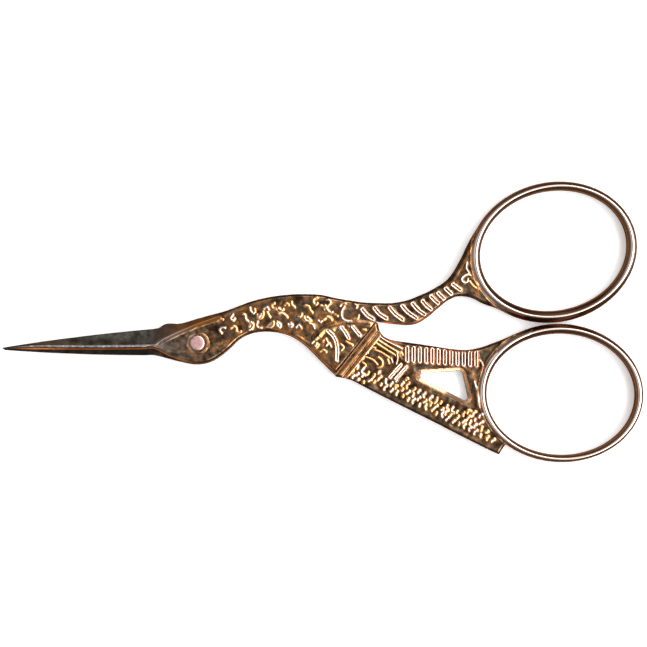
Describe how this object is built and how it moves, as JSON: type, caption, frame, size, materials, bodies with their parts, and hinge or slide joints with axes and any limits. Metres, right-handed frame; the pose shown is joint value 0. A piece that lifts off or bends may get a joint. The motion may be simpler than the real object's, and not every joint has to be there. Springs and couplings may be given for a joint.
{
  "type": "embroidery scissors",
  "caption": "Stork-shaped embroidery scissors: slender pointed blades as the beak, a flush pivot as the eye, a scaled body and legs, and oval finger rings.",
  "frame": {"origin": "on the pivot rivet's axis, in the plane of the underside that the closed scissors rest on", "axes": "+X along the scissors towards the finger rings, +Y up with the stork's back, +Z out of the face with the stork"},
  "size_m": [0.09, 0.0395, 0.0026],
  "materials": {
    "copper_plate": "polished copper-toned plating with dark recesses",
    "rivet_steel": "polished, pinkish silver"
  },
  "bodies": {
    "leg": {"leg_half": "copper_plate", "pivot_rivet": "rivet_steel"},
    "bird": {"bird_half": "copper_plate"}
  },
  "joints": [
    {"name": "pivot", "type": "hinge", "parent": "leg", "child": "bird", "pos_m": [0, 0, 0], "axis": [0, 0, 1], "range_deg": [0, 120]}
  ]
}
